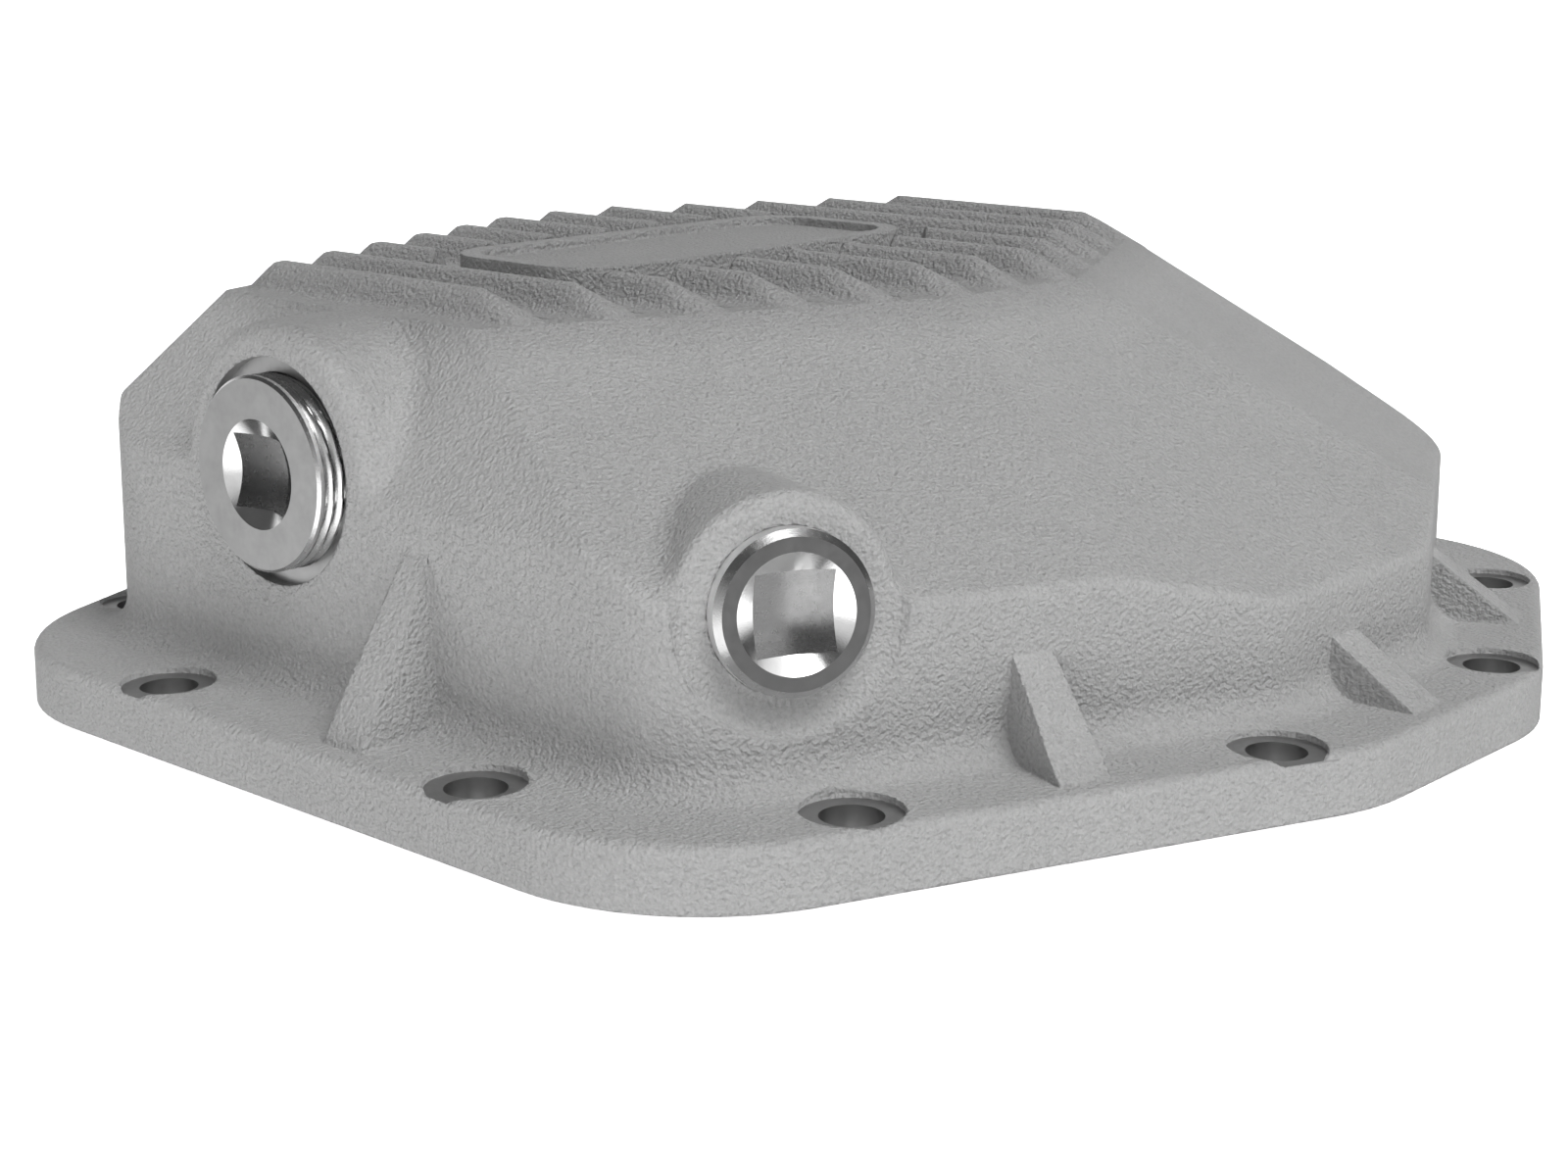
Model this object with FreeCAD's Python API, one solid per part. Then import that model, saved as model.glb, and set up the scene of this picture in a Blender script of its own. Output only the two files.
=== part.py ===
import FreeCAD, Part

import math
import os

# Differential cover for a twelve-bolt axle, in millimetres.
# The gasket face lies on z = 0 and the dome rises along +Z.
# X runs along the cooling fins, and +X is the low side once the cover is on the axle.
# Y runs across the fins, and the fill plug faces -Y.

# Flange: an octagon, alike on +X and -X
FLANGE_THICKNESS = 10.5
FLANGE_HALF_X = 131.6
FLANGE_HALF_Y = 126.9
FLANGE_FRONT_EDGE = 168.4
FLANGE_BACK_EDGE = 181.6
FLANGE_SIDE_LOW_Y = -11.1
FLANGE_SIDE_HIGH_Y = 45.9
FLANGE_CORNER_R = 39.6
FLANGE_EDGE_ROUND = 1.8

# Bolt holes: the edge they follow, the way along it from its first corner, and the distance in from it
BOLT_HOLE_D = 9.9
BOLT_SEAT_D = 16.1
BOLT_SEAT_DEPTH = 1.0
BOLT_SEAT_CLEAR_HEIGHT = 24.0
BOLT_PLACES = (
    ("front", 123.8, 7.9),
    ("front_right", 36.1, 8.9),
    ("front_right", 110.7, 7.3),
    ("back_right", 4.9, 8.9),
    ("back_right", 66.1, 10.1),
    ("back", 51.2, 8.0),
)

# Dome walls
WALL_INSET = 20.4
WALL_CORNER_R = 19.2
WALL_FRONT_LEFT_SHIFT = 7.6
WALL_THICKNESS = 8.0
WALL_FOOT_ROUND = 6.0
DOME_HEIGHT = 77.0
DOME_CREASE_ROUND = 2.5

# Sloping faces above the walls: the height where each leaves its wall, and its rise above level, in degrees
SLOPES = {
    "front": (45.5, 53.0),
    "front_right": (37.1, 26.6),
    "right": (29.8, 30.0),
    "back_right": (35.9, 28.1),
    "back": (47.2, 69.4),
    "back_left": (52.9, 45.0),
    "left": (54.7, 46.4),
    "front_left": (51.7, 47.0),
}

# Cooling fins, spaced evenly between a first and a last one, each this far in from its wall
FIN_COUNT = 12
FIN_FIRST_INSET = 30.7
FIN_LAST_INSET = 12.9
FIN_HEIGHT = 4.9
FIN_CREST_WIDTH = 2.4
FIN_FLANK_RUN = 3.3
FIN_CREST_ROUND = 2.2
FIN_ROOT_ROUND = 3.0
FIN_ROOT_WIDTH = 2.0
FIN_TOP_END_ROUND = 8.0
FIN_SIDE_END_ROUND = 6.0

# Plain pad in the middle of the fins
PAD_X = -30.0
PAD_Y = -1.2
PAD_LENGTH = 96.0
PAD_WIDTH = 40.0
PAD_CORNER_R = 12.0
PAD_GAP = 6.0
PAD_RIM = 4.0
PAD_SINK = 1.6

# Stiffening ribs from the walls to the flange
RIB_REACH = 16.2
RIB_FOOT_WIDTH = 9.4
RIB_DRAFT = 3.7
RIB_FRONT_X = 12.0
RIB_HEIGHTS = {"front": 39.0, "front_right": 26.7, "right": 20.5, "back_right": 22.5}

# Square drive recess, the same in both plugs
DRIVE_SQUARE = 12.7
DRIVE_DEPTH = 12.0
DRIVE_MOUTH_D = 18.8
DRIVE_MOUTH_ANGLE = 120.0
PLUG_CLEARANCE = 0.05
MAGNET_CLEARANCE = 0.05

# Fill plug and its boss, whose face is flush with the front wall
FILL_X = -24.8
FILL_BOSS_BELOW_TOP = 4.3
FILL_BOSS_D = 51.0
FILL_BOSS_LENGTH = 24.0
FILL_BOSS_ROUND = 3.5
FILL_BOSS_BLEND = 5.0
FILL_SEAT_D = 39.0
FILL_SEAT_DEPTH = 2.0
FILL_PLUG_D = 33.4
FILL_PLUG_LENGTH = 24.0
FILL_PLUG_PROUD = 3.4
FILL_PLUG_CHAMFER = 0.5
FILL_MAGNET_D = 14.0
FILL_MAGNET_LENGTH = 5.0

# Drain plug and its boss, which leans off the front right wall, sideways and up, in degrees
DRAIN_ALONG_WALL = 19.0
DRAIN_Z = 37.5
DRAIN_SIDE_LEAN = -6.24
DRAIN_UP_LEAN = 4.0
DRAIN_BOSS_D = 36.2
DRAIN_BOSS_LENGTH = 22.0
DRAIN_BOSS_ROUND = 2.2
DRAIN_BOSS_BLEND = 4.0
DRAIN_POCKET_D = 38.6
DRAIN_POCKET_ROUND = 3.0
DRAIN_PLUG_D = 25.6
DRAIN_PLUG_LENGTH = 21.0
DRAIN_PLUG_PROUD = 3.9
DRAIN_PLUG_CHAMFER = 1.1
DRAIN_MAGNET_D = 12.0
DRAIN_MAGNET_LENGTH = 5.0

# Lengths of the tools that cut right through the cover, and that round one end of a fin
THROUGH = 400.0
ROUNDING_LENGTH = 60.0

EDGE_NAMES = ("front", "front_right", "right", "back_right", "back", "back_left", "left", "front_left")

UP = FreeCAD.Vector(0, 0, 1)


def vector(x, y, z=0.0):
    return FreeCAD.Vector(x, y, z)


def flange_corners():
    """Corners of the flange before they are rounded, anticlockwise from the front left."""
    front = FLANGE_FRONT_EDGE / 2
    back = FLANGE_BACK_EDGE / 2
    right = [
        vector(front, -FLANGE_HALF_Y),
        vector(FLANGE_HALF_X, FLANGE_SIDE_LOW_Y),
        vector(FLANGE_HALF_X, FLANGE_SIDE_HIGH_Y),
        vector(back, FLANGE_HALF_Y),
    ]
    left = [vector(-corner.x, corner.y) for corner in reversed(right)]
    return left[-1:] + right + left[:-1]


def along(start, end):
    """Unit vector from one point to another."""
    return (end - start).normalize()


def outward(start, end):
    """Unit normal that points out of an anticlockwise outline."""
    return along(start, end).cross(UP)


def meeting_point(point_a, way_a, point_b, way_b):
    """Where two straight lines in the XY plane cross."""
    cross = way_a.x * way_b.y - way_a.y * way_b.x
    gap = point_b - point_a
    return point_a + way_a * ((gap.x * way_b.y - gap.y * way_b.x) / cross)


def inset(corners, distance):
    """The outline moved inward by the same distance on every side."""
    moved = []
    count = len(corners)
    for index in range(count):
        before = corners[index - 1]
        here = corners[index]
        after = corners[(index + 1) % count]
        start_a = before - outward(before, here) * distance
        start_b = here - outward(here, after) * distance
        moved.append(meeting_point(start_a, along(before, here), start_b, along(here, after)))
    return moved


def rounded_wire(corners, radii):
    """Closed wire through the corners, each rounded by a tangent arc where its radius is more than nothing."""
    edges = []
    ends = []
    count = len(corners)
    for index in range(count):
        here = corners[index]
        back = along(here, corners[index - 1])
        ahead = along(here, corners[(index + 1) % count])
        radius = radii[index]
        if radius <= 0:
            ends.append((here, here))
            continue
        half = back.getAngle(ahead) / 2
        reach = radius / math.tan(half)
        first = here + back * reach
        last = here + ahead * reach
        bisector = (back + ahead).normalize()
        middle = here + bisector * (radius / math.sin(half) - radius)
        edges.append(Part.Arc(first, middle, last).toShape())
        ends.append((first, last))
    for index in range(count):
        start = ends[index - 1][1]
        end = ends[index][0]
        if start.distanceToPoint(end) > 1e-6:
            edges.append(Part.LineSegment(start, end).toShape())
    return Part.Wire(Part.__sortEdges__(edges))


def prism(corners, radius, bottom, top):
    """Upright prism over a rounded outline."""
    face = Part.Face(rounded_wire(corners, [radius] * len(corners)))
    face.translate(UP * bottom)
    return face.extrude(UP * (top - bottom))


def wall_corners():
    """Corners of the dome's walls at the flange. The front left one stands further out."""
    corners = inset(flange_corners(), WALL_INSET)
    corners[0] = corners[0] - vector(WALL_FRONT_LEFT_SHIFT, 0)
    return corners


def edge_of(corners, name):
    """Start and end of the outline's edge with this name."""
    index = EDGE_NAMES.index(name)
    return corners[index], corners[(index + 1) % len(corners)]


def space_above_slope(start, end, wall_height, angle):
    """Everything above the plane that rises inward from a wall, as a wedge to cut with."""
    rise = math.tan(math.radians(angle))
    out = outward(start, end)
    outer = WALL_INSET
    inner = -THROUGH
    profile = [
        start + out * outer + UP * (wall_height - outer * rise),
        start + out * outer + UP * THROUGH * 2,
        start + out * inner + UP * THROUGH * 2,
        start + out * inner + UP * (wall_height - inner * rise),
    ]
    way = along(start, end)
    shifted = [point - way * THROUGH for point in profile]
    face = Part.Face(Part.makePolygon(shifted + shifted[:1]))
    return face.extrude(way * THROUGH * 2)


def dome_solid(depth_inside, top):
    """The dome's form, moved inward by the same thickness on walls and slopes."""
    corners = inset(wall_corners(), depth_inside)
    solid = prism(corners, WALL_CORNER_R - depth_inside, 0, top)
    for name in EDGE_NAMES:
        wall_height, angle = SLOPES[name]
        lean = math.radians(angle)
        height = wall_height + depth_inside * math.tan(lean) - depth_inside / math.cos(lean)
        start, end = edge_of(corners, name)
        solid = solid.cut(space_above_slope(start, end, height, angle))
    return solid


def rounded_dome():
    """The dome's outside, with the creases between its faces rounded."""
    solid = dome_solid(0, DOME_HEIGHT)
    low = min(height for height, angle in SLOPES.values()) / 2
    creases = []
    for edge in solid.Edges:
        box = edge.BoundBox
        upright = box.XLength < 1e-6 and box.YLength < 1e-6
        if box.ZMin > low and box.ZMin < DOME_HEIGHT - 1e-6 and not upright:
            creases.append(edge)
    return solid.makeFillet(DOME_CREASE_ROUND, creases)


def slope_plane(name):
    """A point and the unit normal of a sloping face."""
    wall_height, angle = SLOPES[name]
    lean = math.radians(angle)
    start, end = edge_of(wall_corners(), name)
    return start + UP * wall_height, outward(start, end) * math.sin(lean) + UP * math.cos(lean)


def common_point(planes):
    """Where three planes meet, each given as a point and a unit normal."""
    (point_a, normal_a), (point_b, normal_b), (point_c, normal_c) = planes
    whole = normal_a.dot(normal_b.cross(normal_c))
    weighted = normal_b.cross(normal_c) * point_a.dot(normal_a)
    weighted += normal_c.cross(normal_a) * point_b.dot(normal_b)
    weighted += normal_a.cross(normal_b) * point_c.dot(normal_c)
    return weighted * (1 / whole)


def edge_rounding(point, normal_a, normal_b, radius):
    """Tool that rounds the straight edge through a point between two faces with these normals."""
    way = normal_a.cross(normal_b).normalize()
    outside = normal_a + normal_b
    centre = point - outside * (radius / (1 + normal_a.dot(normal_b)))
    outside.normalize()
    first = centre + normal_a * radius
    last = centre + normal_b * radius
    sides = [
        Part.LineSegment(first, point + outside * radius).toShape(),
        Part.LineSegment(point + outside * radius, last).toShape(),
        Part.Arc(last, centre + outside * radius, first).toShape(),
    ]
    face = Part.Face(Part.Wire(sides))
    face.translate(way * -ROUNDING_LENGTH / 2)
    return face.extrude(way * ROUNDING_LENGTH)


def fin_end_roundings(middle):
    """Tools that round a fin's crest and flanks where they run out into the slopes on +X and -X."""
    half_crest = FIN_CREST_WIDTH / 2
    half_foot = half_crest + FIN_FLANK_RUN
    crest = (vector(0, middle, DOME_HEIGHT), UP)
    middle_plane = (vector(0, middle), vector(0, 1))
    tools = []
    for side, names in ((1, EDGE_NAMES[1:4]), (-1, EDGE_NAMES[5:8])):
        reached = set()
        for y, z in ((-half_foot, -FIN_HEIGHT), (-half_crest, 0), (half_crest, 0), (half_foot, -FIN_HEIGHT)):
            level = (vector(0, 0, DOME_HEIGHT + z), UP)
            across = (vector(0, middle + y), vector(0, 1))
            ends = [(common_point([level, across, slope_plane(name)]).x * side, name) for name in names]
            reached.add(min(ends)[1])
        for name in sorted(reached):
            slope = slope_plane(name)
            corner = common_point([crest, middle_plane, slope])
            tools.append(edge_rounding(corner, slope[1], UP, FIN_TOP_END_ROUND))
            for way in (-1, 1):
                flank_normal = vector(0, way * FIN_HEIGHT, FIN_FLANK_RUN).normalize()
                flank = (vector(0, middle + way * half_crest, DOME_HEIGHT), flank_normal)
                corner = common_point([crest, flank, slope])
                tools.append(edge_rounding(corner, slope[1], flank_normal, FIN_SIDE_END_ROUND))
    return tools


def fin(middle):
    """One cooling fin across the dome, with a hollow curve at its foot, from just under the fin floor."""
    floor = DOME_HEIGHT - FIN_HEIGHT
    half_crest = FIN_CREST_WIDTH / 2
    half_foot = half_crest + FIN_FLANK_RUN
    half_root = half_foot + FIN_ROOT_WIDTH
    low = floor - FIN_ROOT_WIDTH
    points = [
        vector(0, middle - half_root, low),
        vector(0, middle - half_root, floor),
        vector(0, middle - half_foot, floor),
        vector(0, middle - half_crest, DOME_HEIGHT),
        vector(0, middle + half_crest, DOME_HEIGHT),
        vector(0, middle + half_foot, floor),
        vector(0, middle + half_root, floor),
        vector(0, middle + half_root, low),
    ]
    radii = [0, 0, FIN_ROOT_ROUND, FIN_CREST_ROUND, FIN_CREST_ROUND, FIN_ROOT_ROUND, 0, 0]
    face = Part.Face(rounded_wire(points, radii))
    face.translate(vector(-THROUGH, 0))
    bar = face.extrude(vector(THROUGH * 2, 0)).common(dome_solid(0, DOME_HEIGHT))
    return bar.cut(fin_end_roundings(middle))


def fins():
    """All fins, evenly spaced."""
    walls = wall_corners()
    first = edge_of(walls, "front")[0].y + FIN_FIRST_INSET
    last = edge_of(walls, "back")[0].y - FIN_LAST_INSET
    return [fin(first + (last - first) * number / (FIN_COUNT - 1)) for number in range(FIN_COUNT)]


def pad_block(grow, bottom, top):
    """Block with rounded corners over the pad's place, grown or shrunk all round."""
    half_width = PAD_WIDTH / 2 + grow
    half_length = PAD_LENGTH / 2 + grow
    corners = [
        vector(PAD_X - half_width, PAD_Y - half_length),
        vector(PAD_X + half_width, PAD_Y - half_length),
        vector(PAD_X + half_width, PAD_Y + half_length),
        vector(PAD_X - half_width, PAD_Y + half_length),
    ]
    return prism(corners, PAD_CORNER_R + grow, bottom, top)


def rib(wall_point, out, height):
    """Triangular rib with drafted sides, from the wall down to the flange."""
    sideways = out.cross(UP)
    buried = WALL_THICKNESS / 2
    spread = math.tan(math.radians(RIB_DRAFT))
    foot_half = RIB_FOOT_WIDTH / 2
    top_half = foot_half - (height - FLANGE_THICKNESS) * spread
    low = FLANGE_THICKNESS / 2
    low_half = foot_half + low * spread
    back = wall_point - out * buried
    section = [
        back + sideways * low_half + UP * low,
        back + sideways * top_half + UP * height,
        back - sideways * top_half + UP * height,
        back - sideways * low_half + UP * low,
    ]
    bar = Part.Face(Part.makePolygon(section + section[:1])).extrude(out * (buried + RIB_REACH))
    fall = (height - FLANGE_THICKNESS) / RIB_REACH
    start = wall_point - sideways * THROUGH
    side = [
        start + UP * height,
        start + out * THROUGH + UP * (height - fall * THROUGH),
        start + out * THROUGH + UP * THROUGH,
        start - out * buried + UP * THROUGH,
        start - out * buried + UP * height,
    ]
    space_above = Part.Face(Part.makePolygon(side + side[:1])).extrude(sideways * THROUGH * 2)
    return bar.cut(space_above)


def bolt_centres():
    """Centres of the bolt holes on the right, then the same ones on the left."""
    corners = flange_corners()
    right = []
    for name, way_along, way_in in BOLT_PLACES:
        start, end = edge_of(corners, name)
        right.append(start + along(start, end) * way_along - outward(start, end) * way_in)
    return right, [vector(-centre.x, centre.y) for centre in right]


def on_wall(point, start, end):
    """The point of the wall nearest to a point on the flange."""
    way = along(start, end)
    return start + way * (point - start).dot(way)


def ribs():
    """All ribs: one off the middle at the front and back, the others midway between two bolts."""
    walls = wall_corners()
    right, left = bolt_centres()
    found = []
    for centres, names in ((right, EDGE_NAMES[1:4]), (left, ("front_left", "left", "back_left"))):
        for number, name in enumerate(names):
            between = (centres[number + 1] + centres[number + 2]) * 0.5
            start, end = edge_of(walls, name)
            height = RIB_HEIGHTS[EDGE_NAMES[number + 1]]
            found.append(rib(on_wall(between, start, end), outward(start, end), height))
    for name in ("front", "back"):
        start, end = edge_of(walls, name)
        place = on_wall(vector(RIB_FRONT_X, 0), start, end)
        found.append(rib(place, outward(start, end), RIB_HEIGHTS["front"]))
    return found


def fill_axis():
    """Centre of the fill boss's face, and the way the plug comes out."""
    start, end = edge_of(wall_corners(), "front")
    height = DOME_HEIGHT - FILL_BOSS_BELOW_TOP - FILL_BOSS_D / 2
    return on_wall(vector(FILL_X, 0), start, end) + UP * height, outward(start, end)


def drain_axis():
    """Centre of the drain boss's face, and the way the plug comes out."""
    start, end = edge_of(wall_corners(), "front_right")
    wall_out = outward(start, end)
    sideways = math.radians(DRAIN_SIDE_LEAN)
    rise = math.radians(DRAIN_UP_LEAN)
    level_out = wall_out * math.cos(sideways) + along(start, end) * math.sin(sideways)
    out = level_out * math.cos(rise) + UP * math.sin(rise)
    plug_face = start + along(start, end) * DRAIN_ALONG_WALL + UP * DRAIN_Z
    return plug_face - out * DRAIN_PLUG_PROUD, out


def rounded_cylinder(face_centre, out, diameter, length, rounding):
    """Cylinder from its face inward, with the face's rim rounded."""
    solid = Part.makeCylinder(diameter / 2, length, face_centre, out * -1)
    rim = [edge for edge in solid.Edges if is_circle_at(edge, face_centre)]
    return solid.makeFillet(rounding, rim)


def is_circle_at(edge, centre):
    """Whether an edge is a full circle about this point."""
    if not isinstance(edge.Curve, Part.Circle):
        return False
    return edge.Curve.Center.distanceToPoint(centre) < 1e-6


def boss_edges(shape, face_centre, out, radius, rim):
    """The edges where a round boss grows out of the dome, below its rounded rim."""
    found = []
    for edge in shape.Edges:
        middle = edge.valueAt((edge.FirstParameter + edge.LastParameter) / 2)
        points = [vertex.Point for vertex in edge.Vertexes] + [middle]
        depths = [(face_centre - point).dot(out) for point in points]
        ways = [point.distanceToLine(face_centre, out) for point in points]
        if max(depths) > rim + 1e-3 and all(abs(way - radius) < 1e-2 for way in ways):
            found.append(edge)
    return found


def flange():
    """The flange plate, with its upper edge rounded."""
    plate = prism(flange_corners(), FLANGE_CORNER_R, 0, FLANGE_THICKNESS)
    upper = [edge for edge in plate.Edges if edge.BoundBox.ZMin > FLANGE_THICKNESS - 1e-6]
    return plate.makeFillet(FLANGE_EDGE_ROUND, upper)


def foot_edges(shape):
    """The edges where the dome's walls stand on the flange."""
    inside = Part.Face(rounded_wire(inset(flange_corners(), WALL_INSET / 2), [0] * len(EDGE_NAMES)))
    found = []
    for edge in shape.Edges:
        box = edge.BoundBox
        level = abs(box.ZMin - FLANGE_THICKNESS) < 1e-6 and abs(box.ZMax - FLANGE_THICKNESS) < 1e-6
        middle = edge.valueAt((edge.FirstParameter + edge.LastParameter) / 2)
        if level and inside.isInside(vector(middle.x, middle.y), 1e-6, True):
            found.append(edge)
    return found


def with_boss(dome, face_centre, out, diameter, length, rim_round, blend):
    """The dome with a round boss, blended into the faces that it grows out of."""
    boss = rounded_cylinder(face_centre, out, diameter, length, rim_round)
    joined = dome.fuse(boss).removeSplitter()
    return joined.makeFillet(blend, boss_edges(joined, face_centre, out, diameter / 2, rim_round))


def drain_pocket(face_centre, out):
    """Tool that clears the space in front of the drain boss's face, rounded at its floor."""
    pocket = Part.makeCylinder(DRAIN_POCKET_D / 2, THROUGH, face_centre + out * THROUGH, out * -1)
    floor_rim = [edge for edge in pocket.Edges if is_circle_at(edge, face_centre)]
    return pocket.makeFillet(DRAIN_POCKET_ROUND, floor_rim)


def casting():
    """The cover itself: one hollow casting with machined seats and bores."""
    fill_face, fill_out = fill_axis()
    drain_face, drain_out = drain_axis()
    dome = with_boss(
        rounded_dome(), fill_face, fill_out, FILL_BOSS_D, FILL_BOSS_LENGTH * 2, FILL_BOSS_ROUND, FILL_BOSS_BLEND
    )
    dome = with_boss(
        dome, drain_face, drain_out, DRAIN_BOSS_D, DRAIN_BOSS_LENGTH * 2, DRAIN_BOSS_ROUND, DRAIN_BOSS_BLEND
    )
    shell = flange().fuse(dome.cut(drain_pocket(drain_face, drain_out))).removeSplitter()
    shell = shell.makeFillet(WALL_FOOT_ROUND, foot_edges(shell))

    fin_floor = DOME_HEIGHT - FIN_HEIGHT
    above_floor = Part.makeBox(THROUGH, THROUGH, THROUGH, vector(-THROUGH / 2, -THROUGH / 2, fin_floor))
    shell = shell.cut(above_floor).fuse(fins())
    shell = shell.cut(pad_block(PAD_GAP, fin_floor, THROUGH))
    pad = pad_block(0, fin_floor - FIN_HEIGHT, DOME_HEIGHT)
    pad = pad.cut(pad_block(-PAD_RIM, DOME_HEIGHT - PAD_SINK, THROUGH))
    shell = shell.fuse([pad] + ribs())

    cavity = dome_solid(WALL_THICKNESS, fin_floor - WALL_THICKNESS)
    cavity = cavity.cut(Part.makeCylinder(FILL_BOSS_D / 2, FILL_BOSS_LENGTH, fill_face, fill_out * -1))
    cavity = cavity.cut(Part.makeCylinder(DRAIN_BOSS_D / 2, DRAIN_BOSS_LENGTH, drain_face, drain_out * -1))
    shell = shell.cut(cavity)

    fill_bore = FILL_PLUG_D / 2 + PLUG_CLEARANCE
    drain_bore = DRAIN_PLUG_D / 2 + PLUG_CLEARANCE
    tools = [
        Part.makeCylinder(fill_bore, FILL_BOSS_LENGTH * 2, fill_face + fill_out, fill_out * -1),
        Part.makeCylinder(FILL_SEAT_D / 2, FILL_SEAT_DEPTH, fill_face, fill_out * -1),
        Part.makeCylinder(drain_bore, DRAIN_BOSS_LENGTH * 2, drain_face + drain_out, drain_out * -1),
    ]
    right, left = bolt_centres()
    seat_level = UP * (FLANGE_THICKNESS - BOLT_SEAT_DEPTH)
    for centre in right + left:
        tools.append(Part.makeCylinder(BOLT_HOLE_D / 2, FLANGE_THICKNESS * 2, centre - UP, UP))
        tools.append(Part.makeCylinder(BOLT_SEAT_D / 2, BOLT_SEAT_CLEAR_HEIGHT, centre + seat_level, UP))
    return shell.cut(tools).removeSplitter()


def drive_recess(face_centre, out):
    """Square drive hole with a conical mouth. One side of the square is level."""
    mouth_r = DRIVE_MOUTH_D / 2
    cone_depth = mouth_r / math.tan(math.radians(DRIVE_MOUTH_ANGLE / 2))
    cone = Part.makeCone(mouth_r, 0, cone_depth, face_centre, out * -1)
    side = out.cross(UP).normalize()
    high = side.cross(out).normalize()
    half = DRIVE_SQUARE / 2
    corners = [
        face_centre + side * half + high * half,
        face_centre - side * half + high * half,
        face_centre - side * half - high * half,
        face_centre + side * half - high * half,
    ]
    square = Part.Face(Part.makePolygon(corners + corners[:1])).extrude(out * -DRIVE_DEPTH)
    whole_mouth = Part.makeCylinder(mouth_r, DRIVE_DEPTH, face_centre, out * -1)
    return cone.fuse(square.common(whole_mouth))


def plug(face_centre, out, diameter, length, chamfer, magnet_d, magnet_length):
    """Threaded plug as a plain cylinder with chamfered ends, a drive recess and a magnet pocket."""
    inner_end = face_centre - out * length
    solid = Part.makeCylinder(diameter / 2, length, face_centre, out * -1)
    rims = [edge for edge in solid.Edges if is_circle_at(edge, face_centre) or is_circle_at(edge, inner_end)]
    solid = solid.makeChamfer(chamfer, rims)
    pocket = Part.makeCylinder(magnet_d / 2 + MAGNET_CLEARANCE, magnet_length, inner_end, out)
    return solid.cut([drive_recess(face_centre, out), pocket])


def magnet(face_centre, out, length, magnet_d, magnet_length):
    """Disc magnet in the plug's inner end, flush with it."""
    inner_end = face_centre - out * length
    return Part.makeCylinder(magnet_d / 2, magnet_length, inner_end, out)


def build():
    """Every piece of the cover by name."""
    fill_face, fill_out = fill_axis()
    drain_face, drain_out = drain_axis()
    fill_plug_face = fill_face + fill_out * FILL_PLUG_PROUD
    drain_plug_face = drain_face + drain_out * DRAIN_PLUG_PROUD
    return {
        "cover_casting": casting(),
        "fill_plug": plug(
            fill_plug_face, fill_out, FILL_PLUG_D, FILL_PLUG_LENGTH, FILL_PLUG_CHAMFER, FILL_MAGNET_D,
            FILL_MAGNET_LENGTH,
        ),
        "fill_plug_magnet": magnet(fill_plug_face, fill_out, FILL_PLUG_LENGTH, FILL_MAGNET_D, FILL_MAGNET_LENGTH),
        "drain_plug": plug(
            drain_plug_face, drain_out, DRAIN_PLUG_D, DRAIN_PLUG_LENGTH, DRAIN_PLUG_CHAMFER, DRAIN_MAGNET_D,
            DRAIN_MAGNET_LENGTH,
        ),
        "drain_plug_magnet": magnet(
            drain_plug_face, drain_out, DRAIN_PLUG_LENGTH, DRAIN_MAGNET_D, DRAIN_MAGNET_LENGTH
        ),
    }


os.makedirs("parts", exist_ok=True)
for node, shape in build().items():
    shape.exportStep(f"parts/{node}.step")
    print(node, "valid", shape.isValid(), "solids", len(shape.Solids), "cm3", round(shape.Volume / 1000, 2))
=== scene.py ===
import math

import bpy
from mathutils import Matrix, Vector


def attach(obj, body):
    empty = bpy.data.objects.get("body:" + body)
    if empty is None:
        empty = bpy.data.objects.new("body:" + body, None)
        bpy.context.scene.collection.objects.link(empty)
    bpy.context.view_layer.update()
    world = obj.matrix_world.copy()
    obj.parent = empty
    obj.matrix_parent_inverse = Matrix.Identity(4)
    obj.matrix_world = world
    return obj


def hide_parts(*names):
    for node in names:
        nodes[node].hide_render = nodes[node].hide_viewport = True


# Looks of the differential cover, in metres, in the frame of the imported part.
# The casting keeps its solid. The two threaded plugs get detailed pieces with real threads.

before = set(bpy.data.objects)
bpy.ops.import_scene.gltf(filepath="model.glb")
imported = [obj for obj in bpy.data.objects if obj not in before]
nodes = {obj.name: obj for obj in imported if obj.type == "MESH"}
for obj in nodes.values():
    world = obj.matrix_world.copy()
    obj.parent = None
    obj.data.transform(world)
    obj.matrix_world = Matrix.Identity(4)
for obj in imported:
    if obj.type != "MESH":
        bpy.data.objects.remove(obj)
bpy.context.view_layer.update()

# Camera at the photograph's viewing angle: its turns in degrees, its lens and sensor in millimetres, and its
# shift as a share of the sensor's width
CAMERA_PLACE = (0.32378, -0.36417, 0.13644)
CAMERA_TURN = 42.109
CAMERA_DOWN = 11.63
CAMERA_ROLL = 0.145
CAMERA_LENS = 59.331
CAMERA_SENSOR = 36
CAMERA_SHIFT_Y = -0.08
CAMERA_CLIP = 0.01

# Soft boxes round the object, each with its azimuth and height above level, the half widths of its bright
# middle and of the whole, all in degrees, and its glow
SOFT_BOXES = {
    "left": (-76, 0, 4, 38, 0.66),
    "far_left": (-132, -8, 4, 30, 0.80),
    "left_low": (-115, -28, 4, 34, 1.55),
    "front_low": (-60, -28, 4, 34, 2.30),
    "right_low": (-5, -28, 4, 34, 0.62),
    "right_back_low": (45, -28, 4, 34, 1.68),
    "right_high": (8, 37, 4, 38, 1.00),
    "overhead": (-9, 60, 4, 25, 6.20),
    "back": (125, 5, 4, 34, 0.80),
    "back_left": (168, 0, 4, 30, 1.10),
    "back_low": (140, -25, 4, 36, 1.80),
}
ROOM_GLOW = 0.08

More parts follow.
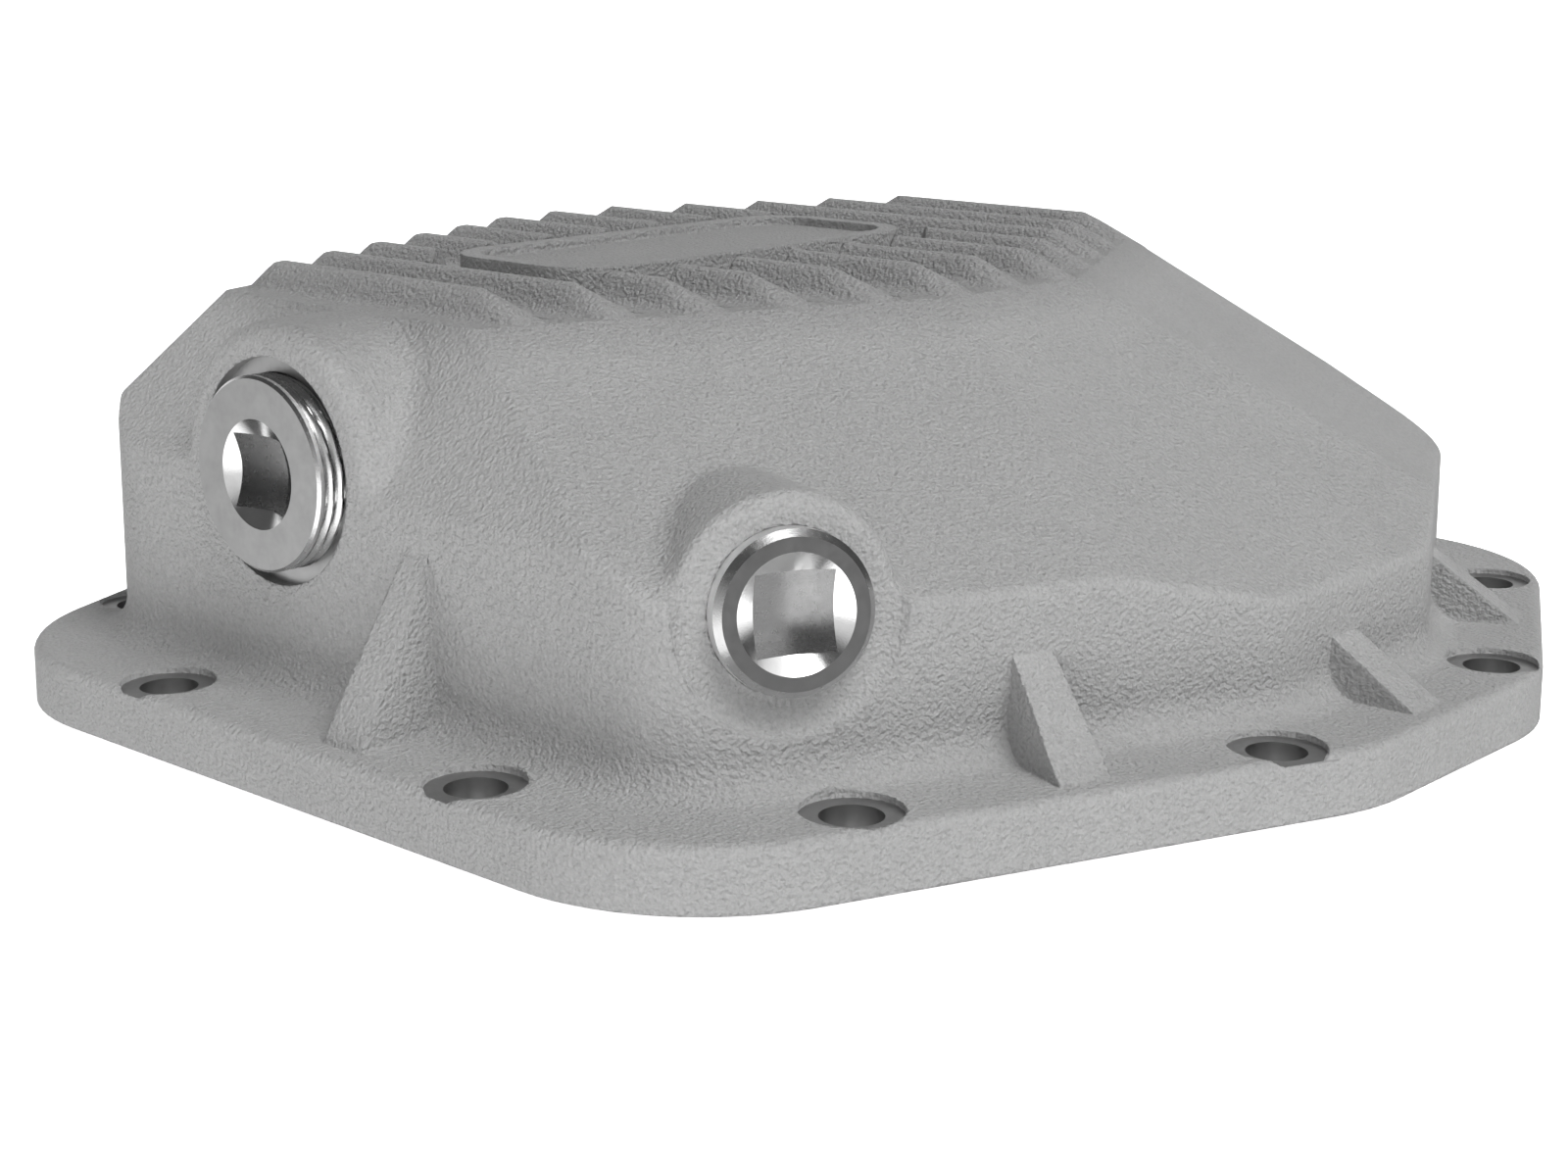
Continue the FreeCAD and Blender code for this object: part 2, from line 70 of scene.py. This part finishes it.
# Floor: its glow, the scale of its faint tones, an inner ring and how far it is flat, the radius of its curve
# up into the backdrop, the backdrop's height, and how far it lies below the object
FLOOR_GLOW = 0.9
FLOOR_TONE_SCALE = 2
FLOOR_RING = 2.6
FLOOR_REACH = 3.0
FLOOR_CURVE = 1.0
BACKDROP_HEIGHT = 4.0
FLOOR_DROP = 0.0002

# Cast skin: features per metre of its patches, grain, pebbles and fine relief, the depths of the relief, and
# the radius that softens its edges
PATCH_SCALE = 45
GRAIN_SCALE = 1600
PEBBLE_SCALE = 1300
FINE_SCALE = 2600
PEBBLE_DEPTH = 0.0007
FINE_DEPTH = 0.00005
EDGE_SOFTNESS = 0.0010

# Levels between which painted shade darkens the skin towards the finned crown, which gets little light, and
# the painted shade's tone there
CROWN_SHADE_FROM = 0.067
CROWN_SHADE_TO = 0.072
CROWN_SHADE_TONE = 0.84

# Machined metal: features per metre of its worn tones, its gloss and its tool marks
WEAR_SCALE = 260
GLOSS_SCALE = 900
MARK_SCALE = 3000

# Bolt seats, and the holes in the half with positive x
SEAT_LEVEL = 0.0095
SEAT_RADIUS = 0.00805
BOLTS_RIGHT = (
    (0.0396, -0.1190),
    (0.089639, -0.090119),
    (0.119379, -0.021685),
    (0.121447, 0.046272),
    (0.092844, 0.100390),
    (0.0396, 0.1189),
)

# Square drive recess, the same in both plugs
DRIVE_HALF = 0.00635
DRIVE_DEPTH = 0.012
MOUTH_RADIUS = 0.0094
MOUTH_SLOPE = math.tan(math.radians(60))

# Thread profile: crest, root and the fade at its ends as shares of the pitch, and rows of vertices in a pitch
THREAD_CREST = 0.14
THREAD_ROOT = 0.14
THREAD_FADE = 0.3
THREAD_ROWS = 14

# Flat ends stop at this share of their radius and are closed by one small face
CENTRE_SHARE = 0.02

# How far a face's centre may lie off a machined surface that it belongs to, and how deep the bores run
LEVEL_SLACK = 0.00001
SEAT_SLACK = 0.0001
SEAT_EDGE_SLACK = 0.00002
BORE_SLACK = 0.0002
BORE_DEPTH = 0.03

# Depths below the fill plug's face between which its boss is machined
PLUG_SEAT_DEPTHS = (0.003, 0.0056)

# Plugs: face centre, the way out, radius, length, rim chamfer, thread, magnet pocket, the face's tone,
# painted lighter or darker per plug to stand for the light that face reflects, and the radius of the machined
# seat round the plug, 0 where there is none
PLUGS = {
    "fill_plug": {
        "face": Vector((-0.0248, -0.1099, 0.0472)),
        "out": Vector((0, -1, 0)),
        "radius": 0.0167,
        "length": 0.024,
        "chamfer": 0.0005,
        "pitch": 0.0019,
        "thread_depth": 0.0009,
        "thread_start": 0.0012,
        "pocket_radius": 0.00705,
        "pocket_depth": 0.005,
        "face_painted_tone": 0.40,
        "seat_radius": 0.0196,
    },
    "drain_plug": {
        "face": Vector((0.077705, -0.088916, 0.0375)),
        "out": Vector((0.87668, -0.47600, 0.069756)).normalized(),
        "radius": 0.0128,
        "length": 0.021,
        "chamfer": 0.0011,
        "pitch": 0.0018,
        "thread_depth": 0.0008,
        "thread_start": 0.0040,
        "pocket_radius": 0.00605,
        "pocket_depth": 0.005,
        "face_painted_tone": 0.27,
        "seat_radius": 0.0,
    },
}


# Node helpers

def new_material(name):
    """Material that has only a Principled shader and an output, with its node tree and that shader."""
    material = bpy.data.materials.new(name)
    material.use_nodes = True
    tree = material.node_tree
    tree.nodes.clear()
    shader = tree.nodes.new("ShaderNodeBsdfPrincipled")
    output = tree.nodes.new("ShaderNodeOutputMaterial")
    tree.links.new(shader.outputs["BSDF"], output.inputs["Surface"])
    return material, tree, shader


def add_node(tree, kind, settings=None, inputs=None):
    """Node of this kind, with its settings and its sockets set or linked."""
    node = tree.nodes.new(kind)
    for name, value in (settings or {}).items():
        setattr(node, name, value)
    for name, value in (inputs or {}).items():
        if isinstance(value, bpy.types.NodeSocket):
            tree.links.new(value, node.inputs[name])
        else:
            node.inputs[name].default_value = value
    return node


def noise(tree, place, scale, detail=2.0, roughness=0.5):
    """Noise value at this scale, in features per metre."""
    made = add_node(
        tree, "ShaderNodeTexNoise",
        inputs={"Vector": place, "Scale": scale, "Detail": detail, "Roughness": roughness},
    )
    return made.outputs["Fac"]


def ramp(tree, value, stops):
    """Grey ramp with these (place, grey) stops."""
    made = add_node(tree, "ShaderNodeValToRGB", inputs={"Fac": value})
    elements = made.color_ramp.elements
    while len(elements) < len(stops):
        elements.new(0.5)
    for element, (where, grey) in zip(elements, stops):
        element.position = where
        element.color = (grey, grey, grey, 1)
    return made.outputs["Color"]


# Materials

def cast_aluminium():
    """Raw casting: soft grey metal with a fine pebbled skin."""
    material, tree, shader = new_material("cast_aluminium_skin")
    place = add_node(tree, "ShaderNodeTexCoord").outputs["Object"]
    patches = noise(tree, place, PATCH_SCALE, 3)
    grain = noise(tree, place, GRAIN_SCALE, 2, 0.6)
    tone = add_node(
        tree, "ShaderNodeMix", {"data_type": "RGBA", "blend_type": "MULTIPLY"},
        {"Factor": 1.0},
    )
    tree.links.new(ramp(tree, patches, [(0.3, 0.458), (0.7, 0.478)]), tone.inputs[6])
    tree.links.new(ramp(tree, grain, [(0.35, 0.90), (0.60, 1.03)]), tone.inputs[7])
    # Painted shade: the skin's colour darkens towards the finned crown to stand for the little light that
    # reaches the top
    level = add_node(tree, "ShaderNodeSeparateXYZ", inputs={"Vector": place}).outputs["Z"]
    crown_shade = add_node(
        tree, "ShaderNodeMapRange",
        inputs={
            "Value": level, "From Min": CROWN_SHADE_FROM, "From Max": CROWN_SHADE_TO,
            "To Min": 1.0, "To Max": CROWN_SHADE_TONE,
        },
    )
    crown_shaded = add_node(
        tree, "ShaderNodeMix", {"data_type": "RGBA", "blend_type": "MULTIPLY"},
        {"Factor": 1.0},
    )
    tree.links.new(tone.outputs[2], crown_shaded.inputs[6])
    tree.links.new(crown_shade.outputs["Result"], crown_shaded.inputs[7])
    tree.links.new(crown_shaded.outputs[2], shader.inputs["Base Color"])
    pebbles = noise(tree, place, PEBBLE_SCALE, 1.0, 0.5)
    fine = noise(tree, place, FINE_SCALE, 2, 0.6)
    soft_edges = add_node(tree, "ShaderNodeBevel", {"samples": 8}, {"Radius": EDGE_SOFTNESS})
    coarse_bump = add_node(
        tree, "ShaderNodeBump",
        inputs={
            "Strength": 1.0, "Distance": PEBBLE_DEPTH,
            "Height": pebbles, "Normal": soft_edges.outputs["Normal"],
        },
    )
    fine_bump = add_node(
        tree, "ShaderNodeBump",
        inputs={
            "Strength": 0.4, "Distance": FINE_DEPTH,
            "Height": fine, "Normal": coarse_bump.outputs["Normal"],
        },
    )
    tree.links.new(fine_bump.outputs["Normal"], shader.inputs["Normal"])
    shader.inputs["Metallic"].default_value = 0.1
    shader.inputs["Roughness"].default_value = 0.75
    return material


def turned_metal(name, shade, roughness, mark_depth):
    """Machined metal with faint tool marks."""
    material, tree, shader = new_material(name)
    place = add_node(tree, "ShaderNodeTexCoord").outputs["Object"]
    wear = noise(tree, place, WEAR_SCALE, 4)
    tree.links.new(ramp(tree, wear, [(0.3, shade * 0.88), (0.7, shade)]), shader.inputs["Base Color"])
    gloss = noise(tree, place, GLOSS_SCALE, 3)
    rough = ramp(tree, gloss, [(0.3, roughness * 0.85), (0.7, roughness * 1.15)])
    tree.links.new(rough, shader.inputs["Roughness"])
    marks = add_node(
        tree, "ShaderNodeBump",
        inputs={"Strength": 0.4, "Distance": mark_depth, "Height": noise(tree, place, MARK_SCALE, 3)},
    )
    tree.links.new(marks.outputs["Normal"], shader.inputs["Normal"])
    shader.inputs["Metallic"].default_value = 1.0
    return material


def floor_material():
    """Pale, even floor and backdrop, lit from behind so that they stay near white."""
    material, tree, shader = new_material("pale_floor")
    place = add_node(tree, "ShaderNodeTexCoord").outputs["Object"]
    tone = ramp(tree, noise(tree, place, FLOOR_TONE_SCALE), [(0.0, 0.93), (1.0, 0.95)])
    tree.links.new(tone, shader.inputs["Base Color"])
    shader.inputs["Roughness"].default_value = 0.9
    shader.inputs["Emission Color"].default_value = (1, 1, 1, 1)
    shader.inputs["Emission Strength"].default_value = FLOOR_GLOW
    return material


# Meshes

def new_piece(name, vertices, faces, materials, smooth_angle=32):
    """Mesh object with these materials, smooth up to an angle between faces."""
    mesh = bpy.data.meshes.new(name)
    mesh.from_pydata(vertices, [], faces)
    for material in materials:
        mesh.materials.append(material)
    for polygon in mesh.polygons:
        polygon.use_smooth = True
    mesh.set_sharp_from_angle(angle=math.radians(smooth_angle))
    piece = bpy.data.objects.new(name, mesh)
    bpy.context.scene.collection.objects.link(piece)
    return piece


def thread_drop(turns):
    """How far the thread's profile lies below its crest, from 0 to 1, at this many turns along it."""
    part = turns % 1.0
    flank = (1 - THREAD_CREST - THREAD_ROOT) / 2
    if part < THREAD_CREST:
        return 0.0
    if part < THREAD_CREST + flank:
        return (part - THREAD_CREST) / flank
    if part < THREAD_CREST + flank + THREAD_ROOT:
        return 1.0
    return 1 - (part - THREAD_CREST - flank - THREAD_ROOT) / flank


def plug_rings(plug, steps):
    """Rings of (radius, depth) from the drive recess over the rim and thread to the magnet pocket."""
    angles = [2 * math.pi * step / steps for step in range(steps)]
    squares = [DRIVE_HALF / max(abs(math.cos(angle)), abs(math.sin(angle))) for angle in angles]
    rings = [
        [(square * CENTRE_SHARE, DRIVE_DEPTH) for square in squares],
        [(square, DRIVE_DEPTH) for square in squares],
        [(square, (MOUTH_RADIUS - square) / MOUTH_SLOPE) for square in squares],
        [(MOUTH_RADIUS, 0)] * steps,
    ]
    radius = plug["radius"]
    chamfer = plug["chamfer"]
    length = plug["length"]
    rings.append([(radius - chamfer, 0)] * steps)
    rings.append([(radius, chamfer)] * steps)
    start = plug["thread_start"]
    end = length - chamfer
    spacing = plug["pitch"] / THREAD_ROWS
    fade = plug["pitch"] * THREAD_FADE
    count = int((end - start) / spacing)
    for row in range(count + 1):
        depth = start + row * spacing
        strength = max(0, min(1, (depth - start) / fade, (end - depth) / fade))
        ring = []
        for angle in angles:
            drop = thread_drop(depth / plug["pitch"] - angle / (2 * math.pi))
            ring.append((radius - plug["thread_depth"] * drop * strength, depth))
        rings.append(ring)
    rings.append([(radius, end)] * steps)
    rings.append([(radius - chamfer, length)] * steps)
    pocket_radius = plug["pocket_radius"]
    pocket_floor = length - plug["pocket_depth"]
    rings.append([(pocket_radius, length)] * steps)
    rings.append([(pocket_radius, pocket_floor)] * steps)
    rings.append([(pocket_radius * CENTRE_SHARE, pocket_floor)] * steps)
    return rings, angles


def build_plug(name, materials, steps=160):
    """Threaded plug that stands for its plain solid, in steel with its own face, mouth and side finishes. The
    mouth's steel is glossier and lighter, its extra lightness a painted highlight, and the face's tone is
    painted per plug for the light it reflects.
    """
    plug = PLUGS[name]
    out = plug["out"]
    level = out.cross(Vector((0, 0, 1))).normalized()
    high = level.cross(out).normalized()
    rings, angles = plug_rings(plug, steps)
    vertices = []
    for ring in rings:
        for (radius, depth), angle in zip(ring, angles):
            spoke = level * math.cos(angle) + high * math.sin(angle)
            vertices.append(plug["face"] - out * depth + spoke * radius)
    faces = []
    for ring in range(len(rings) - 1):
        for step in range(steps):
            after = (step + 1) % steps
            a = ring * steps + step
            b = ring * steps + after
            faces.append((a, b, b + steps, a + steps))
    faces.append(tuple(reversed(range(steps))))
    last = (len(rings) - 1) * steps
    faces.append(tuple(range(last, last + steps)))
    piece = new_piece(name + "_threaded", vertices, faces, materials, smooth_angle=20)
    # Bands of faces between the rings, counted from the recess floor
    mouth_band, face_band, side_band = 2, 3, 5
    for band, index in ((face_band, 1), (mouth_band, 2), (side_band, 3)):
        for polygon in piece.data.polygons[band * steps:(band + 1) * steps]:
            polygon.material_index = index
    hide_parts(name)
    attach(piece, "root")


# Casting: its own solid, with the machined faces in machined metal

def near_bolt(point, reach):
    """Whether a point is within this reach of a bolt hole's axis."""
    for x, y in BOLTS_RIGHT:
        if math.hypot(abs(point.x) - x, point.y - y) < reach:
            return True
    return False


def is_machined(centre):
    """Whether a face centred here is on the gasket face, a bolt's seat or hole, or a plug's bore or seat."""
    if centre.z < LEVEL_SLACK:
        return True
    if centre.z < SEAT_LEVEL + SEAT_SLACK and near_bolt(centre, SEAT_RADIUS - SEAT_EDGE_SLACK):
        return True
    for plug in PLUGS.values():
        depth = (plug["face"] - centre).dot(plug["out"])
        away = (centre - plug["face"] + plug["out"] * depth).length
        if depth < BORE_DEPTH and away < plug["radius"] + BORE_SLACK:
            return True
        if PLUG_SEAT_DEPTHS[0] < depth < PLUG_SEAT_DEPTHS[1] and away < plug["seat_radius"]:
            return True
    return False


skin = cast_aluminium()
machined = turned_metal("machined_aluminium", shade=0.42, roughness=0.38, mark_depth=0.00005)
plug_steel = turned_metal("plug_steel_turned", shade=0.62, roughness=0.25, mark_depth=0.00003)
# The mouth's steel is glossier and lighter than the plug steel; its extra lightness is a painted highlight on
# the mouth cone
mouth_steel_painted_highlight = turned_metal("plug_steel_mouth_painted_highlight", shade=0.88, roughness=0.16, mark_depth=0.00002)
side_steel = turned_metal("plug_steel_side", shade=0.95, roughness=0.45, mark_depth=0.00002)
magnet_metal = turned_metal("magnet_nickel", shade=0.5, roughness=0.25, mark_depth=0.00003)

casting = nodes["cover_casting"]
casting.data.materials.clear()
casting.data.materials.append(skin)
casting.data.materials.append(machined)
for polygon in casting.data.polygons:
    polygon.material_index = 1 if is_machined(polygon.center) else 0

for name in ("fill_plug_magnet", "drain_plug_magnet"):
    nodes[name].data.materials.clear()
    nodes[name].data.materials.append(magnet_metal)

for name, plug in PLUGS.items():
    # Each face steel is a copy of one steel whose tone is painted lighter or darker per plug for the light
    # its face reflects
    face_steel = turned_metal(name + "_face_steel", plug["face_painted_tone"], roughness=0.42, mark_depth=0.00002)
    build_plug(name, [plug_steel, face_steel, mouth_steel_painted_highlight, side_steel])


# Floor, lights and camera

def add_floor():
    """Plain pale floor that curves up into a round backdrop, out of the lights' way."""
    steps = 96
    curve_steps = 12
    profile = [(FLOOR_RING, 0.0)]
    for step in range(curve_steps + 1):
        angle = math.pi / 2 * step / curve_steps
        profile.append((FLOOR_REACH + FLOOR_CURVE * math.sin(angle), FLOOR_CURVE * (1 - math.cos(angle))))
    profile.append((FLOOR_REACH + FLOOR_CURVE, BACKDROP_HEIGHT))
    vertices = [(0, 0, 0)]
    for radius, height in profile:
        for step in range(steps):
            angle = 2 * math.pi * step / steps
            vertices.append((radius * math.cos(angle), radius * math.sin(angle), height))
    faces = [(0, 1 + step, 1 + (step + 1) % steps) for step in range(steps)]
    for ring in range(len(profile) - 1):
        for step in range(steps):
            a = 1 + ring * steps + step
            b = 1 + ring * steps + (step + 1) % steps
            faces.append((a, a + steps, b + steps, b))
    floor = new_piece("floor", vertices, faces, [floor_material()])
    floor.location.z = -FLOOR_DROP
    floor.visible_diffuse = False
    floor.visible_glossy = False
    floor.visible_shadow = False


def add_room():
    """Even dim room with soft boxes that fade out at their edges."""
    world = bpy.data.worlds.new("studio")
    world.use_nodes = True
    tree = world.node_tree
    way = add_node(tree, "ShaderNodeTexCoord").outputs["Generated"]
    scaled = add_node(tree, "ShaderNodeVectorMath", {"operation": "NORMALIZE"}, {"Vector": way})
    unit = scaled.outputs["Vector"]
    total = ROOM_GLOW
    for azimuth, height, inner, outer, glow in SOFT_BOXES.values():
        turned = math.radians(azimuth)
        raised = math.radians(height)
        reach = math.cos(raised)
        middle = (reach * math.cos(turned), reach * math.sin(turned), math.sin(raised))
        facing = add_node(tree, "ShaderNodeVectorMath", {"operation": "DOT_PRODUCT"}, {0: unit, 1: middle})
        fade = add_node(
            tree, "ShaderNodeMapRange", {"interpolation_type": "SMOOTHSTEP"},
            {
                "Value": facing.outputs["Value"],
                "From Min": math.cos(math.radians(outer)),
                "From Max": math.cos(math.radians(inner)),
                "To Min": 0.0,
                "To Max": glow,
            },
        )
        added = add_node(tree, "ShaderNodeMath", inputs={0: total, 1: fade.outputs["Result"]})
        total = added.outputs["Value"]
    tree.links.new(total, tree.nodes["Background"].inputs["Color"])
    bpy.context.scene.world = world


add_floor()
add_room()
bpy.context.scene.view_settings.view_transform = "Standard"

camera_data = bpy.data.cameras.new("camera")
camera_data.lens = CAMERA_LENS
camera_data.sensor_width = CAMERA_SENSOR
camera_data.shift_y = CAMERA_SHIFT_Y
camera_data.clip_start = CAMERA_CLIP
camera = bpy.data.objects.new("camera", camera_data)
turn = Matrix.Rotation(math.radians(CAMERA_TURN), 4, "Z")
tip = Matrix.Rotation(math.radians(90 - CAMERA_DOWN), 4, "X")
roll = Matrix.Rotation(math.radians(CAMERA_ROLL), 4, "Z")
camera.matrix_world = Matrix.Translation(CAMERA_PLACE) @ turn @ tip @ roll
bpy.context.scene.collection.objects.link(camera)
bpy.context.scene.camera = camera
